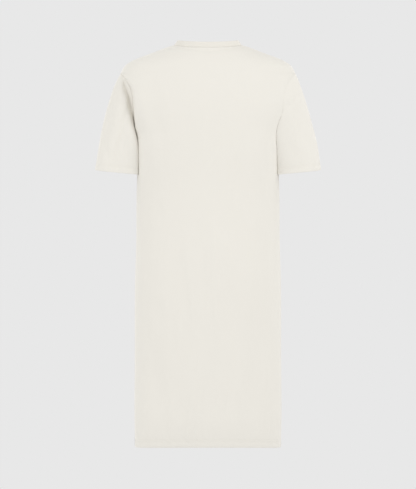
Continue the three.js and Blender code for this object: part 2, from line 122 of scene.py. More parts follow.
def smooth(table, column, at):
    # cubic through every row of the table, its slopes weighed from both neighbours
    rows = np.array(table, float)
    keys, values = rows[:, 0], rows[:, column]
    gap = np.diff(keys)
    slope = np.diff(values) / gap
    between = (gap[1:] * slope[:-1] + gap[:-1] * slope[1:]) / (gap[1:] + gap[:-1])
    tangent = np.concatenate([slope[:1], between, slope[-1:]])
    i = np.clip(np.searchsorted(keys, at) - 1, 0, len(keys) - 2)
    f = (at - keys[i]) / gap[i]
    rise = (values[i + 1] - values[i]) * f * f * (3 - 2 * f)
    leaving = f * (1 - f) ** 2 * gap[i] * tangent[i]
    arriving = f * f * (1 - f) * gap[i] * tangent[i + 1]
    return rise + values[i] + leaving - arriving


def unit(vectors):
    # each vector over its own length
    return vectors / np.maximum(np.linalg.norm(vectors, axis=-1, keepdims=True), 1e-9)


def lerp(a, b, f):
    # a where f is 0, b where it is 1, and straight between them
    return a + (b - a) * f


def panelEdge(face, station):
    # shoulder seam to station 1, half an ellipse round the armhole to 2, side seam to 3:
    # how far back or forward, how high, and half the body's width there
    turn = np.clip(station - 1, 0, 1) * np.pi
    scoop = dress["frontScoop"] * np.sin(turn) ** 4 if face > 0 else 0
    tip, underarm = dress["tip"], dress["underarm"]
    step = np.clip(station, 0, 1) * (len(dress["shoulder"]) - 1)
    y = dress["armholeDepth"][face] * np.sin(turn)
    seamZ = smooth(dress["shoulder"], 2, step)
    armholeZ = (tip + underarm) / 2 + (tip - underarm) / 2 * np.cos(turn)
    sideZ = lerp(underarm, dress["hem"], np.clip(station - 2, 0, 1))
    z = np.where(station <= 1, seamZ, np.where(station < 2, armholeZ, sideZ))
    half = np.where(station <= 1, smooth(dress["shoulder"], 1, step), smooth(dress["side"], 1, z) - scoop)
    return np.maximum(y, 0), z, half


def panelFolds(face, x, z):
    # a fold: rise * sin^2 down its length * a bell across it. A crease: rise * sin^1.5 * a bell that leans,
    # moved sideways by its bow
    total = np.zeros_like(x)
    for topX, topZ, bottomX, bottomZ, width, rise in dress["folds"][face]:
        down = np.clip((topZ - z) / (topZ - bottomZ), 0, 1)
        total += rise * np.sin(np.pi * down) ** 2 * np.exp(-((x - lerp(topX, bottomX, down)) / width) ** 2)
    lean, sudden = dress["creaseLean"]
    for topX, topZ, bottomX, bottomZ, bow, wideTop, wideBottom, rise in dress["creases"][face]:
        down = np.clip((topZ - z) / (topZ - bottomZ), 0, 1)
        middle = lerp(topX, bottomX, down) + bow * np.sin(np.pi * down)
        across = (x - middle) / lerp(wideTop, wideBottom, down)
        bell = rise * np.sin(np.pi * down) ** 1.5 * np.exp(-across * across)
        total += bell * (1 + lean * np.tanh(sudden * across))
    return total


def panelSkin(face, across, station):
    # each row is half an oval |x/a|^n + |y/b|^n = 1 cut off at the panel's two edges, dipping between them,
    # moved in or out by the folds, turned in above the hem and rolled in at the armholes
    edgeY, edgeZ, half = panelEdge(face, station)
    dip = smooth(dress["dips"], 1 if face < 0 else 2, edgeZ)
    curl = smooth(dress["dips"], 3, edgeZ)
    depth = smooth(dress["profile"][face], 1, edgeZ - dip)
    power = smooth(dress["profile"][face], 2, edgeZ - dip)
    edgeDeep = edgeY / depth
    edgeWide = (1 - edgeDeep ** power) ** (1 / power)
    cut = edgeDeep / (edgeWide + edgeDeep)
    side = np.abs(across)
    share = side * (1 - cut) + dress["columnEase"] * cut * side * (1 - side)
    reach = (share ** power + (1 - share) ** power) ** (1 / power)
    wide, deep = share / reach, (1 - share) / reach
    x = np.sign(across) * half * wide
    z = edgeZ - dip * np.maximum(0, (deep ** curl - edgeDeep ** curl) / (1 - edgeDeep ** curl))
    outX = np.sign(across) * wide ** (power - 1) / half
    outY = deep ** (power - 1) / depth
    tuck, reachUp = dress["hemTuck"]
    tucked = tuck * np.clip(1 - (z - dress["hem"]) / reachUp, 0, 1) ** 2
    fold = (panelFolds(face, x, z) - tucked) * (1 - side ** dress["foldFade"]) / np.hypot(outX, outY)
    left, right = dress["armholeRoll"][face]
    roll = np.where(across < 0, left[0], right[0])
    reachIn = np.where(across < 0, left[1], right[1])
    turn = np.clip(station - 1, 0, 1) * np.pi
    rolled = roll * np.sin(turn) * np.exp(-((1 - side) * half / reachIn) ** 2)
    return np.stack([x + fold * outX, face * (depth * deep + fold * outY - rolled), z], axis=-1)


sleeve = {
    "outer": (311.0, -345.0),  # x and z of the cuff's outer end, for both sides
    "inner": (184.0, -357.0),
    "forward": 2.0,
    "halfDepth": 46.0,
    "roundness": (7.0, 2.2),  # on the side of the body, on the outer side
    "frontRise": 5.0,  # how much higher the cuff is in front
    "run": (-0.03, 0.12, 0.04),  # direction at the cuff: inner side out, outer side out, forward
    # direction at the armhole: out at the top, out at the sides, forward at the back
    "leave": {-1: (0.52, 0.5, -0.5), 1: (0.42, 0.48, 0.42)},
    "forwardFront": -0.4,
    "leastFall": 0.04,  # square of the least share of that direction that points down
    "start": 0.72,  # pull of the direction at the armhole, as a share of the length
    "finish": 1.0,  # and of the direction at the cuff
    "clear": {-1: 0.8, 1: 0.4},  # how near the body it hangs
    "clearFrom": {-1: 0.0, 1: 200.0},  # from how far above the underarm
    "settle": 12.0,  # over what height that begins
    "clearRate": 12,  # the clearance is whole from one twelfth of the way down
    # how far its lower back part swings out to the back, and in towards the body
    "underBack": {-1: (0.25, 0.2), 1: (0.3, 1.35)},
    "foldRate": 60,  # the folds are whole from a sixtieth of the way down
    # degrees, way down, wide, long, rise
    "folds": {
        -1: [(52, 0.02, 18, 0.13, -9), (74, 0.0, 22, 0.12, -10), (94, 0.0, 22, 0.12, -5),
             (42, 0.66, 20, 0.24, -7), (30, 0.34, 16, 0.2, -5), (88, 0.5, 16, 0.3, -4),
             (300, 0.35, 26, 0.3, -5), (134, 0.55, 24, 0.25, 8), (128, 0.3, 20, 0.2, 5)],
        1: [(66, 0.25, 26, 0.3, -3), (30, 0.6, 18, 0.3, 2.5), (296, 0.35, 26, 0.3, -5),
            (134, 0.55, 24, 0.25, 8), (126, 0.26, 22, 0.22, 9)],
    },
    # degrees, way down, wide, long, turn, rise: softer creases, slanting by turn
    "creases": {
        -1: [(52, 0.78, 13, 0.14, 30, -1.8), (84, 0.5, 9, 0.3, -14, 1.7), (20, 0.35, 10, 0.3, 22, 1.2),
             (8, 0.75, 10, 0.25, -10, -1.0), (104, 0.62, 9, 0.3, 16, -1.6), (330, 0.5, 13, 0.3, 18, -1.6),
             (286, 0.7, 12, 0.25, -14, 1.4), (250, 0.45, 13, 0.3, 10, -1.5), (40, 0.12, 9, 0.2, 12, 1.0)],
        1: [(50, 0.7, 12, 0.2, -24, -1.1), (82, 0.5, 9, 0.3, 12, 1.2), (18, 0.3, 10, 0.3, -18, -1.0),
            (5, 0.72, 9, 0.2, 10, 0.9), (102, 0.6, 9, 0.3, -12, -1.2), (332, 0.45, 12, 0.3, -18, 1.4),
            (284, 0.66, 12, 0.25, 12, -1.5), (248, 0.5, 13, 0.3, -8, -1.2), (44, 0.14, 9, 0.2, -10, 0.8)],
    },
}


def cuffPoint(side, angle):
    # an oval |x|^n + |y|^n = 1 in the slanting plane of the cuff, n going from one side's to the other's
    c, s = np.cos(angle), np.sin(angle)
    inside, outside = sleeve["roundness"]
    power = lerp(inside, outside, (1 + c) / 2)
    size = (np.abs(c) ** power + np.abs(s) ** power) ** (-1 / power)
    f = (1 + c * size) / 2
    rise = sleeve["frontRise"] * (1 - s * size) / 2
    return np.stack([side * lerp(sleeve["inner"][0], sleeve["outer"][0], f),
                     sleeve["forward"] - sleeve["halfDepth"] * s * size,
                     lerp(sleeve["inner"][1], sleeve["outer"][1], f) + rise], axis=-1)


def bodyHalf(y, z):
    # half the body's width at one height and depth: a * (1 - (y/b)^n)^(1/n)
    level = (2 * z - dress["tip"] - dress["underarm"]) / (dress["tip"] - dress["underarm"])
    scoop = dress["frontScoop"] * np.clip(1 - level * level, 0, 1) ** 2
    half = np.zeros_like(y)
    for face in (-1, 1):
        power = smooth(dress["profile"][face], 2, z)
        share = np.minimum(np.abs(y) / smooth(dress["profile"][face], 1, z), 1)
        widest = smooth(dress["side"], 1, z) - (scoop if face > 0 else 0)
        half = np.where(y * face >= 0, widest * (1 - share ** power) ** (1 / power), half)
    return half


def sleeveSkin(side, angle, down):
    # a cubic from each point of the armhole to its point of the cuff, with folds that push it out or in,
    # kept clear of the body
    c, s = np.cos(angle), np.sin(angle)
    isBack = angle <= np.pi
    station = 1 + np.where(isBack, angle, 2 * np.pi - angle) / np.pi
    edge = np.full_like(angle, side)
    start = np.where(isBack[..., None], panelSkin(-1, edge, station), panelSkin(1, edge, station))
    end = cuffPoint(side, angle)
    length = np.linalg.norm(end - start, axis=-1)
    top, sides, forwardBack = sleeve["leave"][side]
    swingBack, swingIn = sleeve["underBack"][side]
    swing = np.maximum(0, -np.sin(2 * angle)) * isBack
    out = lerp(top * (1 + c) / 2, sides, s * s) - swingIn * swing
    forward = np.where(s > 0, forwardBack, sleeve["forwardFront"]) * np.abs(s) - swingBack * swing
    fall = np.sqrt(np.maximum(sleeve["leastFall"], 1 - out * out - forward * forward))
    leave = np.stack([side * out, forward, -fall], axis=-1) * (length * sleeve["start"])[..., None]
    innerOut, outerOut, forwardRun = sleeve["run"]
    arriveOut = side * lerp(innerOut, outerOut, (1 + c) / 2)
    arrive = np.stack([arriveOut, np.full_like(c, forwardRun), -np.ones_like(c)], axis=-1)
    arrive = arrive * (length * sleeve["finish"])[..., None]
    f = down[..., None]
    point = lerp(start, end, f * f * (3 - 2 * f)) + leave * f * (1 - f) ** 2 - arrive * f * f * (1 - f)
    middle = np.array([side * (sleeve["inner"][0] + sleeve["outer"][0]) / 2, sleeve["forward"], 0])
    outward = unit((point - middle) * (1, 1, 0))
    degrees = np.degrees(angle)
    fold = np.zeros_like(c)
    for where, at, wide, long, rise in sleeve["folds"][side]:
        fold += rise * np.exp(-((degrees - where) / wide) ** 2 - ((down - at) / long) ** 2)
    for where, at, wide, long, slant, rise in sleeve["creases"][side]:
        around = (degrees - where - slant * (down - at) / long + 180) % 360 - 180
        fold += rise * np.exp(-(around / wide) ** 2 - ((down - at) / long) ** 2)
    point = point + outward * (fold * np.minimum(1, sleeve["foldRate"] * down))[..., None]
    clearTop = dress["underarm"] + sleeve["clearFrom"][side]
    settled = np.clip((clearTop - point[..., 2]) / sleeve["settle"], 0, 1)
    clear = sleeve["clear"][side] * np.minimum(1, sleeve["clearRate"] * down)
    push = np.maximum(0, bodyHalf(point[..., 1], point[..., 2]) + clear - side * point[..., 0])
    point[..., 0] += side * push * settled * settled * (3 - 2 * settled)
    return point


band = {
    "width": 17.0,
    "leanSide": 36.0,  # degrees from upright
    "leanBack": 14.0,
    "leanFront": 23.0,
    "crown": 0.8,
    "radius": 1.2,  # half the thickness of the folded rib
    "columns": 121,  # on each half
    "skinRows": 12,
    "foldSteps": 9,
    "sideRows": 8,
}


def bandSkin(face, across, up):
    # a strip that leans in from the neck edge: width * up along it, and crown * 4 * up * (1 - up) outwards
    zero = np.zeros_like(across)
    base = panelSkin(face, across, zero)
    share = base[..., 1] / panelSkin(face, zero, zero)[..., 1]
    lean = np.radians(lerp(band["leanSide"], band["leanFront"] if face > 0 else band["leanBack"], share))
    inward = unit(-base * (1, 1, 0))
    crown = band["crown"] * 4 * up * (1 - up)
    base = base + inward * (band["width"] * up * np.sin(lean) - crown * np.cos(lean))[..., None]
    base[..., 2] += band["width"] * up * np.cos(lean) + crown * np.sin(lean)
    return base


def gridNormals(points, turn, closed):
    # the cross product of the differences across and down the grid
    if closed:
        across = np.roll(points, -1, axis=1) - np.roll(points, 1, axis=1)
    else:
        across = np.gradient(points, axis=1)
    return unit(np.cross(across, np.gradient(points, axis=0))) * turn


def closeRing(grid):
    # the first column once more after the last
    return np.concatenate([grid, grid[:, :1]], axis=1)


def runLength(points, axis, flat=False):
    # the distance covered so far along the rows or columns
    steps = np.diff(points * ((1, 1, 0) if flat else (1, 1, 1)), axis=axis)
    gone = np.cumsum(np.linalg.norm(steps, axis=-1), axis=axis)
    return np.concatenate([np.zeros_like(np.take(gone, [0], axis=axis)), gone], axis=axis)


def rowsAt(points, keys, at):
    # rows between the given ones, by straight interpolation down the grid
    i = np.clip(np.searchsorted(keys, at) - 1, 0, len(keys) - 2)
    f = ((at - keys[i]) / (keys[i + 1] - keys[i]))[:, None, None]
    return points[i] * (1 - f) + points[i + 1] * f


cloth = {
    "wall": 0.9,
    "seamWall": (0.08, 0.92, 1.2),  # share of the wall at a seam, the rest, over what distance it comes
    "hemRadius": 1.1,
    "hemTurnUp": 25.0,
    "cuffTurnUp": 22.0,
    "foldRows": 3,  # the grid's last rows, which the fold of a hem replaces
    "foldSteps": 9,
    "turnUpRows": 5,
    "puff": 0.45,  # how far the cloth stands up beside a seam
    "seamReach": 1.7,
    "puffSpread": 3.5,  # how many times that reach it takes to lie down again
    "pucker": 0.22,
    "puckerReach": (3, 9),  # where puckers begin, where they have died away
    # length of a ripple, how far it strays, over what length, length of a swell, steady part, swelling part
    "seamRipple": (3.3, 1.7, 29, 47, 0.6, 0.4),
    "hemRipple": (4.1, 1.9, 37, 61, 0.55, 0.45),
    "hemRippleRise": (0.32, 11),  # height, how far from the stitches
    "hemGroove": (0.28, 1.1),  # depth, width
    "hemRoll": (0.45, 0.45, 0.38),  # height, and its middle and width as shares of the stitches' height
}


def ripple(along, sizes, phase, swellPhase):
    # a sine whose phase strays and whose height swells and sinks, so that no two waves are alike
    length, stray, strayLength, swellLength, steady, swelling = sizes
    wave = np.sin(along / length + phase + stray * np.sin(along / strayLength + phase))
    return wave * (steady + swelling * np.sin(along / swellLength + swellPhase))


def seamRelief(distance, along, phase):
    # nothing on the seam itself, a soft ridge beside it, and small uneven puckers that die away
    reach = cloth["seamReach"]
    ridge = cloth["puff"] * (1 - np.exp(-(distance / reach) ** 2))
    ridge = ridge * np.exp(-(distance / (cloth["puffSpread"] * reach)) ** 2)
    begin, end = cloth["puckerReach"]
    pucker = cloth["pucker"] * ripple(along, cloth["seamRipple"], phase, 2 * phase)
    return ridge + pucker * (1 - np.exp(-(distance / begin) ** 2)) * np.exp(-distance / end)


def hemRelief(height, along, lines):
    # a shallow groove at each row of stitches, a soft roll below them, and small ripples beside them
    depth, wide = cloth["hemGroove"]
    groove = sum(-depth * np.exp(-((height - line) / wide) ** 2) for line in lines)
    rise, at, wide = cloth["hemRoll"]
    roll = rise * np.exp(-((height - lines[0] * at) / (lines[0] * wide)) ** 2)
    rise, reach = cloth["hemRippleRise"]
    waves = rise * ripple(along, cloth["hemRipple"], 0, 1)
    return groove + roll + waves * np.exp(-((height - lines[0]) / reach) ** 2)


def wallAt(distance):
    # thin at a seam and soon whole: wall * (least + rest * (1 - exp(-(distance / reach)^2)))
    least, rest, reach = cloth["seamWall"]
    return cloth["wall"] * (least + rest * (1 - np.exp(-(distance / reach) ** 2)))


def turnedEdge(turnUp):
    # heights and inward distances round a folded edge and up the inside, for the outer skin and the inner:
    # half a circle, then straight up
    radius, wall, rows = cloth["hemRadius"], cloth["wall"], cloth["turnUpRows"]
    theta = np.linspace(0, np.pi, cloth["foldSteps"])
    up = np.linspace(radius, turnUp, rows + 1)[1:]
    paths = []
    for r, deep in ((radius, 2 * radius), (radius - wall, 2 * radius - wall)):
        height = np.concatenate([radius - r * np.sin(theta), up])
        inward = np.concatenate([radius - r * np.cos(theta), np.full(rows, deep)])
        paths.append((height, inward))
    return paths


def hemRows(grid, heights, at):
    # what a grid holds at given heights above its edge. heights are those of its last rows, from the top
    return rowsAt(grid[-len(heights):][::-1], heights[::-1], np.asarray(at, float))


def wallSkins(skin, normals, wall, heights, paths):
    # the outer skin and the inner one, a wall further in, both carried on round the fold of the hem
    main = len(skin) - cloth["foldRows"]
    skins = []
    for (tall, inward), offset in zip(paths, (0, 1)):
        folded = hemRows(skin, heights, tall) - hemRows(normals, heights, tall) * inward[:, None, None]
        upper = skin[:main] - normals[:main] * (wall[:main] * offset)[..., None]
        skins.append(np.concatenate([upper, folded]))
    return skins


def addMesh(name, points, faces, corners, material):
    # points in millimetres, faces of four corners, and each corner's place on the flat cloth in metres
    mesh = bpy.data.meshes.new(name)
    mesh.from_pydata((points * mm).tolist(), [], faces.tolist())
    mesh.uv_layers.new(name="cloth").uv.foreach_set("vector", corners.reshape(-1).astype(np.float32))
    mesh.shade_smooth()
    mesh.materials.append(material)
    piece = bpy.data.objects.new(name, mesh)
    scene.collection.objects.link(piece)
    return piece


def wallMesh(name, outer, inner, flat, turn, closed, material):
    # outer skin, inner skin and the cut edges between them. flat has one column more where closed.
    rows, columns = outer.shape[:2]
    spans = columns if closed else columns - 1
    j, i = (index.ravel() for index in np.meshgrid(np.arange(rows - 1), np.arange(spans), indexing="ij"))
    k = np.arange(spans)
    first = np.zeros_like(k)
    last = first + rows - 1
    quads = [  # each corner is skin, row, column
        [(0, j, i), (0, j, i + 1), (0, j + 1, i + 1), (0, j + 1, i)],
        [(1, j, i), (1, j + 1, i), (1, j + 1, i + 1), (1, j, i + 1)],
        [(0, first, k), (1, first, k), (1, first, k + 1), (0, first, k + 1)],
        [(0, last, k + 1), (1, last, k + 1), (1, last, k), (0, last, k)],
    ]
    if not closed:
        side = np.arange(rows - 1)
        low, high = side * 0, side * 0 + spans
        quads += [
            [(0, side + 1, low), (1, side + 1, low), (1, side, low), (0, side, low)],
            [(0, side, high), (1, side, high), (1, side + 1, high), (0, side + 1, high)],
        ]
    vertex = [np.stack([(s * rows + r) * columns + c % columns for s, r, c in q], axis=1) for q in quads]
    place = [np.stack([flat[r, c] for _, r, c in q], axis=1) for q in quads]
    vertex, place = np.concatenate(vertex), np.concatenate(place)
    if turn < 0:
        vertex, place = vertex[:, ::-1], place[:, ::-1]
    points = np.concatenate([outer.reshape(-1, 3), inner.reshape(-1, 3)])
    return addMesh(name, points, vertex, place, material)


def cutSize(outer, closed):
    # the flat cut: the longest row of the lower half, the longest column, and all the cloth
    loop = closeRing(outer) if closed else outer
    width = runLength(loop, 1)[len(loop) // 2:, -1].max()
    length = runLength(loop, 0)[-1].max()
    a, b = loop[1:, 1:] - loop[:-1, :-1], loop[1:, :-1] - loop[:-1, 1:]
    area = np.linalg.norm(np.cross(a, b), axis=-1).sum() / 2
    return width * mm, length * mm, area * mm * mm


stitch = {
    "pitch": 3.0,
    "radius": 0.22,
    "sides": 6,
    "half": 0.46,  # half its length, as a share of the pitch
    "knots": [-1, -0.86, -0.5, 0, 0.5, 0.86, 1.0],  # where its rings stand, from end to end
    "lift": 0.35,  # how far its middle stands proud, in radii
    "sink": 0.9,  # how far its ends go down from there
    "blunt": 0.02,
    "flatTurn": 0.0003,  # how far round one side counts on the flat, in metres
}


def alongPath(path, gone, at):
    # the path at given distances along it
    return np.stack([np.interp(at, gone, path[:, n]) for n in range(3)], axis=1)


def threads(name, rows, material):
    # short rounded stitches: each a bead stretched along its row, lifted in the middle and sunk at its ends
    ring = np.linspace(0, 2 * np.pi, stitch["sides"] + 1)[:-1]
    t = np.array(stitch["knots"])
    forward = t * stitch["pitch"] * stitch["half"]
    lift = stitch["radius"] * (stitch["lift"] - stitch["sink"] * t ** 4)
    size = stitch["radius"] * np.sqrt(np.maximum(stitch["blunt"], 1 - t ** 4))
    made = []
    for path, normals in rows:
        gone = runLength(path[None], 1)[0]
        count = int(gone[-1] / stitch["pitch"])
        at = (np.arange(count) + 0.5) * gone[-1] / count
        normal = unit(alongPath(normals, gone, at))
        along = unit(alongPath(path, gone, at + 0.5) - alongPath(path, gone, at - 0.5))
        across = np.cross(normal, along)
        spine = alongPath(path, gone, at)[:, None] + along[:, None] * forward[:, None]
        spine = spine + normal[:, None] * lift[:, None]
        disc = across[:, None, None] * np.cos(ring)[:, None] + normal[:, None, None] * np.sin(ring)[:, None]
        made.append((spine[:, :, None] + disc * size[:, None, None]).reshape(-1, 3))
    points = np.concatenate(made)
    knots, sides = len(t), len(ring)
    count = len(points) // (knots * sides)
    bead, knot, turn = np.meshgrid(np.arange(count), np.arange(knots - 1), np.arange(sides), indexing="ij")
    start = (bead * knots + knot) * sides
    after = (turn + 1) % sides
    corners = [start + turn, start + after, start + sides + after, start + sides + turn]
    faces = [np.stack([corner.ravel() for corner in corners], axis=1)]
    # two faces close each end
    tail = np.arange(count) * knots * sides
    head = tail + (knots - 1) * sides
    for end, orders in ((tail, ((3, 2, 1, 0), (5, 4, 3, 0))), (head, ((0, 1, 2, 3), (0, 3, 4, 5)))):
        faces += [np.stack([end + corner for corner in order], axis=1) for order in orders]
    faces = np.concatenate(faces)
    place = np.zeros((len(faces), 4, 2))
    place[..., 0] = (faces % sides) * stitch["flatTurn"]
    place[..., 1] = points[faces][..., 2] * mm
    return addMesh(name, points, faces, place, material)


class Wire:
    # a node's output, on which sums and products add Math nodes
    def __init__(self, shader, socket):
        self.shader, self.socket = shader, socket

    def math(self, operation, *others):
        values = dict(enumerate((self,) + others))
        return self.shader.node("ShaderNodeMath", {"operation": operation}, values)

    def __add__(self, other):
        return self.math("ADD", other)

    def __sub__(self, other):
        return self.math("SUBTRACT", other)

    def __mul__(self, other):
        return self.math("MULTIPLY", other)

    def __pow__(self, other):
        return self.math("POWER", other)

    def __radd__(self, other):
        return self + other

    def __rmul__(self, other):
        return self * other

    def __rsub__(self, other):
        return self.shader.node("ShaderNodeMath", {"operation": "SUBTRACT"}, {0: other, 1: self})

    def sin(self):
        return self.math("SINE")

    def fract(self):
        return self.math("FRACT")

    def abs(self):
        return self.math("ABSOLUTE")

    def output(self, n):
        return Wire(self.shader, self.socket.node.outputs[n])


class Shader:
    # a material whose nodes are made one call at a time
    def __init__(self, name):
        self.material = bpy.data.materials.new(name)
        self.material.use_nodes = True
        self.tree = self.material.node_tree
        self.tree.nodes.clear()

    def node(self, kind, settings=None, sockets=None, out=0):
        made = self.tree.nodes.new(kind)
        for key, value in (settings or {}).items():
            setattr(made, key, value)
        for key, value in (sockets or {}).items():
            if isinstance(value, Wire):
                self.tree.links.new(value.socket, made.inputs[key])
            else:
                made.inputs[key].default_value = value
        return Wire(self, made.outputs[out]) if made.outputs else None

    def mix(self, share, first, second):
        # one colour into another by a share
        return self.node("ShaderNodeMix", {"data_type": "RGBA"}, {0: share, 6: first, 7: second}, 2)

    def scaled(self, vector, scale):
        return self.node("ShaderNodeMapping", None, {"Vector": vector, "Scale": scale})

    def noise(self, vector, scale, detail=2.0, rough=0.5):
        return self.node("ShaderNodeTexNoise", None,
                         {"Vector": vector, "Scale": scale, "Detail": detail, "Roughness": rough})

    def bump(self, height, distance, strength, normal=None):
        sockets = {"Height": height, "Distance": distance, "Strength": strength}
        if normal is not None:
            sockets["Normal"] = normal
        return self.node("ShaderNodeBump", None, sockets)

    def finish(self, sockets):
        # a Principled surface as the material's output
        surface = self.node("ShaderNodeBsdfPrincipled", None, sockets)
        self.node("ShaderNodeOutputMaterial", None, {"Surface": surface})
        return self.material


# sizes on the flat cloth are in metres, and scales are those of Blender's noise
knit = {
    "colour": (0.835, 0.812, 0.755, 1),
    "shade": (0.775, 0.745, 0.675, 1),  # painted shade between the loops
    "warm": (0.822, 0.792, 0.722, 1),  # the slubs and warmer yarns
    "wale": 0.00088,
    "course": 0.00064,
    "wobble": (140.0, 0.5),  # scale, and by how many wales they stray
    "loopSlant": 3.4,
    "loopShare": (0.55, 0.45),  # height of a leg between the loops, and what a loop adds
    "loopDepth": 0.00016,
    "loopStrength": 0.55,
    "yarnScale": 900.0,
    "yarnShare": (0.75, 0.5),  # least height, and what the yarn adds
    "slubScale": (14.0, 420.0, 1.0),
    "slub": (0.45, 0.25),  # how far the slubs change the colour, and the height
    "valleyShade": 0.34,  # how far the painted shade shows between the loops
    "broadScale": 9.0,
    "broadShare": (0.7, 0.6),  # how unevenly the painted shade shows
    "crumpleScale": (34.0, 34.0, 13.0),
    "crumple": (0.0016, 0.4),  # depth, strength
    "roughness": (0.84, 0.12),  # least, and what the yarn adds
}

rib = {
    "colour": (0.838, 0.812, 0.75, 1),
    # painted shade, for the channels between the cords
    "shade": (0.71, 0.67, 0.585, 1),
    "wale": 0.0019,
    "course": 0.00085,
    "roundness": 0.7,  # power of a cord's height
    "loopSlant": 2.2,
    "loopShare": (0.8, 0.2),
    "loopDepth": 0.0004,
    "loopStrength": 0.6,
    "yarnScale": 900.0,
    "yarnShare": (0.8, 0.4),
    "channel": 0.5,  # how far the painted shade shows between the cords
    "broadScale": 30.0,
    "crumple": (0.001, 0.25),
    "roughness": (0.84, 0.1),
}

sewing = {
    "colour": (0.83, 0.80, 0.735, 1),
    # darker colour: painted shade between the plies, and the thread's own uneven tone
    "shade": (0.74, 0.70, 0.62, 1),
    "ply": (5200, 3600),  # turns across and along, which make the plies slant
    # how much painted shade the plies add
    "plyShade": 0.3,
    "plyDepth": 0.0001,
    "plyStrength": 0.5,
    "toneScale": 260.0,
    # how far the thread's own colour varies at random
    "toneShade": 0.2,
    "roughness": (0.55, 0.15),
    "sheen": 0.1,
}

nap = {"Sheen Weight": 0.16, "Sheen Roughness": 0.5, "Specular IOR Level": 0.25}  # of jersey and rib


def clothCoordinates(shader):
    # the place on the flat cloth, as across and along and as one vector, and the place in space
    flat = shader.node("ShaderNodeUVMap", {"uv_map": "cloth"})
    across = shader.node("ShaderNodeSeparateXYZ", None, {"Vector": flat})
    space = shader.node("ShaderNodeTexCoord", None, None, 3)
    return across, across.output(1), flat, space


def jerseyMaterial():
    # plain knit: each wale is a column of V-shaped loops, its two legs highest half way out
    shader = Shader("ecru_jersey")
    u, v, flat, space = clothCoordinates(shader)
    wobbleScale, wobble = knit["wobble"]
    wale = u * (1 / knit["wale"]) + (shader.noise(flat, wobbleScale, 1.0) - 0.5) * wobble
    leg = (wale.fract() - 0.5).abs() * 2
    lift = 1 - (leg * 2 - 1) ** 2
    loops = (v * (2 * math.pi / knit["course"]) + leg * knit["loopSlant"]).sin() * 0.5 + 0.5
    yarn = shader.noise(flat, knit["yarnScale"], 1.0)
    legShare, loopShare = knit["loopShare"]
    yarnLeast, yarnAdded = knit["yarnShare"]
    height = lift * (legShare + loopShare * loops) * (yarnLeast + yarnAdded * yarn)
    slub = shader.noise(shader.scaled(flat, knit["slubScale"]), 1.0)
    broad = shader.noise(space, knit["broadScale"], 3.0, 0.55)
    crumple = shader.noise(shader.scaled(space, knit["crumpleScale"]), 1.0, 3.0)
    slubColour, slubHeight = knit["slub"]
    slubbed = shader.node("ShaderNodeMath", {"operation": "MULTIPLY", "use_clamp": True},
                          {0: slub, 1: slubColour})
    base = shader.mix(slubbed, knit["colour"], knit["warm"])
    even, uneven = knit["broadShare"]
    # painted shade: the knit's colour darkens in the valleys between the loops
    valleyShade = (1 - height) * knit["valleyShade"] * (even + uneven * broad)
    base = shader.mix(valleyShade, base, knit["shade"])
    normal = shader.bump(crumple, *knit["crumple"])
    normal = shader.bump(height + slub * slubHeight, knit["loopDepth"], knit["loopStrength"], normal)
    least, added = knit["roughness"]
    return shader.finish({"Base Color": base, "Roughness": least + added * yarn, "Normal": normal, **nap})


def ribMaterial():
    # one and one rib: rounded upright cords with deep channels between them
    shader = Shader("ecru_rib")
    u, v, flat, space = clothCoordinates(shader)
    cord = (u * (2 * math.pi / rib["wale"])).sin() * 0.5 + 0.5
    loops = (v * (2 * math.pi / rib["course"]) + cord * rib["loopSlant"]).sin() * 0.5 + 0.5
    yarn = shader.noise(flat, rib["yarnScale"], 1.0)
    cordShare, loopShare = rib["loopShare"]
    yarnLeast, yarnAdded = rib["yarnShare"]
    height = cord ** rib["roundness"] * (cordShare + loopShare * loops) * (yarnLeast + yarnAdded * yarn)
    # painted shade: darker in the channels between the cords
    base = shader.mix((1 - cord) ** 2 * rib["channel"], rib["colour"], rib["shade"])
    normal = shader.bump(shader.noise(space, rib["broadScale"]), *rib["crumple"])
    normal = shader.bump(height, rib["loopDepth"], rib["loopStrength"], normal)
    least, added = rib["roughness"]
    return shader.finish({"Base Color": base, "Roughness": least + added * yarn, "Normal": normal, **nap})


def threadMaterial():
    # two-ply polyester core thread, its plies running slantwise
    shader = Shader("ecru_thread")
    u, v, _, space = clothCoordinates(shader)
    across, along = sewing["ply"]
    ply = (u * across + v * along).sin() * 0.5 + 0.5
    tone = shader.noise(space, sewing["toneScale"], 1.0)
    # painted shade between the plies, plus the thread's own uneven tone
    share = ply * sewing["plyShade"] + tone * sewing["toneShade"]
    base = shader.mix(share, sewing["colour"], sewing["shade"])
    normal = shader.bump(ply, sewing["plyDepth"], sewing["plyStrength"])
    least, added = sewing["roughness"]
    return shader.finish({"Base Color": base, "Roughness": least + added * tone, "Normal": normal,
                          "Sheen Weight": sewing["sheen"]})


jersey, ribbing, thread = jerseyMaterial(), ribMaterial(), threadMaterial()
print("materials made")

panel = {
    "edgeSteps": [0, 0.004, 0.009, 0.016, 0.026, 0.04],  # from each side seam in
    "columns": 132,
    "neckSteps": [0, 0.008, 0.017, 0.03, 0.046],  # stations beside the neck and shoulder seams
    "rows": {"shoulder": 34, "armhole": 36, "skirt": 166},
    "shoulderFrom": 0.065,
    "armholeSpread": 0.06,  # how much closer the armhole's rows lie half way round
    "hemHeights": [26, 24, 22.7, 21.3, 19, 16.7, 15.3, 13, 10, 7, 4.5, 2.6, 1.1, 0.5, 0],
    "stitchHeights": (16.0, 22.0),
    "topSeam": 0.1,  # how much of a seam's relief the neck and shoulder seams show
    "neckStitch": 11.0,
    "neckGroove": (1.3, 4.6),  # depth, width
    "neckRows": 30,  # in which the neck stitches lie
    "flatTop": 60.0,  # a height above the whole neck, where the flat cloth is counted from
    "flatRate": 1.2,  # how fast it is counted there and round the fold
}

